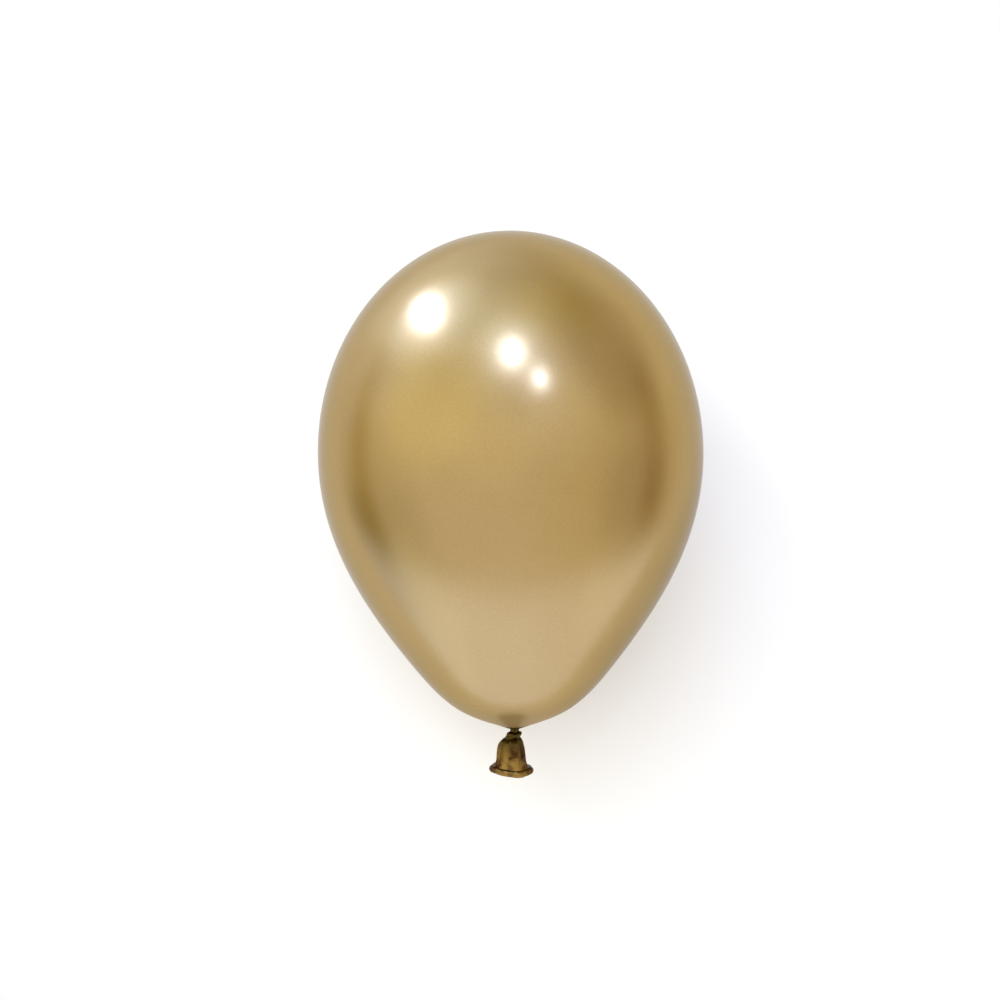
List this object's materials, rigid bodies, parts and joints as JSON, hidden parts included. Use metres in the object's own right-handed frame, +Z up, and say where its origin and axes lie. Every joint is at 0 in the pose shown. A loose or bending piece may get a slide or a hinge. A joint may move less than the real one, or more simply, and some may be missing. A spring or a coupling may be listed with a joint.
{
  "type": "chrome latex balloon",
  "caption": "Blown-up latex balloon with a metallic gold finish, egg-shaped body, tied neck and pleated bell-shaped tail, lying on its side.",
  "frame": {"origin": "centre of the small flat on the belly that the balloon lies on", "axes": "+Y towards the crown, -Y towards the tied tail, +Z up, away from the surface it lies on, +X across"},
  "size_m": [0.28, 0.3941, 0.2796],
  "materials": {
    "gold_film": "stretched latex with a metallic gold chrome sheen, soft mirror reflections"
  },
  "bodies": {
    "root": {"balloon": "gold_film"}
  },
  "joints": []
}
